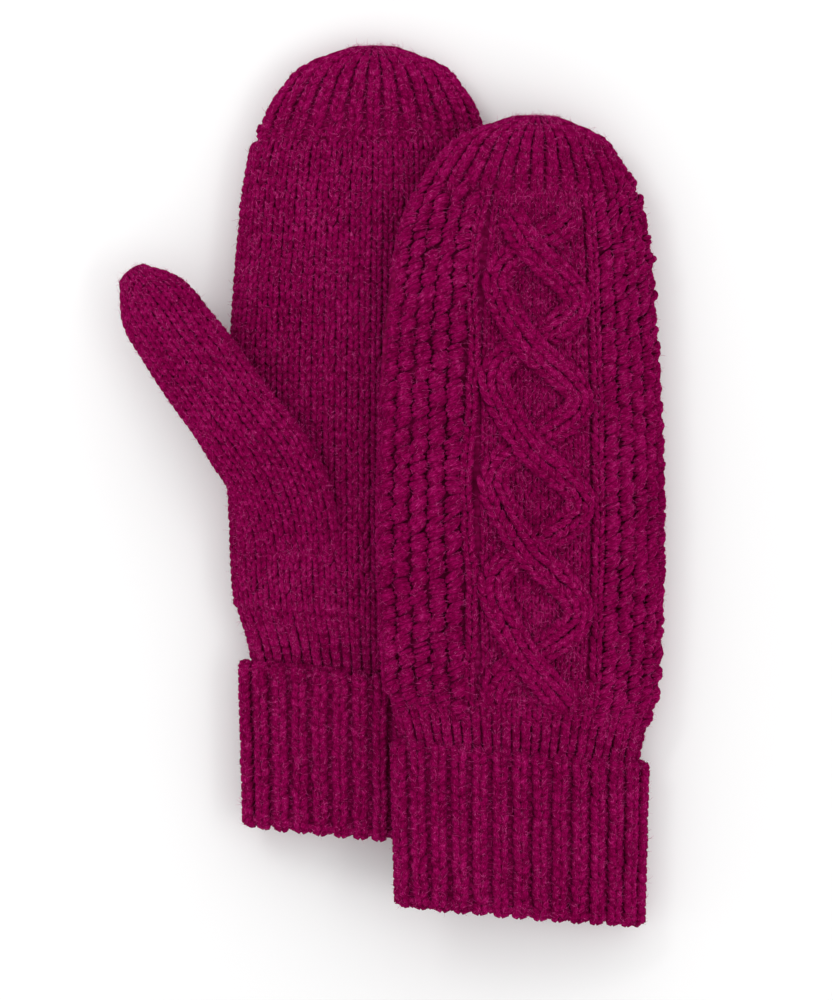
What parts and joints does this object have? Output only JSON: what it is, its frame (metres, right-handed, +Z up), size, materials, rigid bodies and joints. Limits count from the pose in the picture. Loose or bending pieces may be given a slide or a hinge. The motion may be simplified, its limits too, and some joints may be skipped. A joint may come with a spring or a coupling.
{
  "type": "knitted mittens",
  "caption": "Pair of chunky hand-warming mittens, cable-knit on the backs and plain on the palms, with turned-up ribbed cuffs.",
  "frame": {"origin": "on the surface the pair lies on, under the middle of the pair's box", "axes": "+Y towards the fingertips, +Z up, away from the surface; +X across the pair, from the left mitten to the right one"},
  "size_m": [0.1884, 0.3077, 0.0451],
  "materials": {
    "cable_knit": "brushed wool-blend yarn, cables and moss stitch",
    "plain_knit": "brushed wool-blend yarn, stocking stitch",
    "rib_knit": "brushed wool-blend yarn, one-by-one rib",
    "seam_yarn": "linked seam in the same yarn"
  },
  "bodies": {
    "left_mitten": {"left_back_panel": "cable_knit", "left_palm_panel": "plain_knit", "left_thumb_side_seam": "seam_yarn", "left_outer_side_seam": "seam_yarn", "left_tip_gather": "plain_knit", "left_wrist_rib": "rib_knit"},
    "left_thumb": {"left_thumb_base_seam": "seam_yarn", "left_thumb_tube": "plain_knit", "left_thumb_tip_gather": "plain_knit"},
    "left_cuff_turnup": {"left_cuff_turnup": "rib_knit"},
    "right_mitten": {"right_back_panel": "cable_knit", "right_palm_panel": "plain_knit", "right_thumb_side_seam": "seam_yarn", "right_outer_side_seam": "seam_yarn", "right_tip_gather": "plain_knit", "right_wrist_rib": "rib_knit"},
    "right_thumb": {"right_thumb_base_seam": "seam_yarn", "right_thumb_tube": "plain_knit", "right_thumb_tip_gather": "plain_knit"},
    "right_cuff_turnup": {"right_cuff_turnup": "rib_knit"}
  },
  "joints": [
    {"name": "left_thumb_swing", "type": "hinge", "parent": "left_mitten", "child": "left_thumb", "pos_m": [-0.036, 0.004, 0.027], "axis": [-0.342, 0, 0.9397], "range_deg": [-30, 20]},
    {"name": "left_cuff_unfold", "type": "slide", "parent": "left_mitten", "child": "left_cuff_turnup", "axis": [0, -1, 0], "range_m": [0, 0.057]},
    {"name": "right_mitten_lift", "type": "slide", "parent": "left_mitten", "child": "right_mitten", "axis": [0, 0, 1], "range_m": [0, 0.15]},
    {"name": "right_thumb_swing", "type": "hinge", "parent": "right_mitten", "child": "right_thumb", "pos_m": [0.0226, -0.026, 0.0184], "axis": [0.3551, 0, 0.9348], "range_deg": [-10, 20]},
    {"name": "right_cuff_unfold", "type": "slide", "parent": "right_mitten", "child": "right_cuff_turnup", "axis": [0, -1, 0], "range_m": [0, 0.057]}
  ]
}
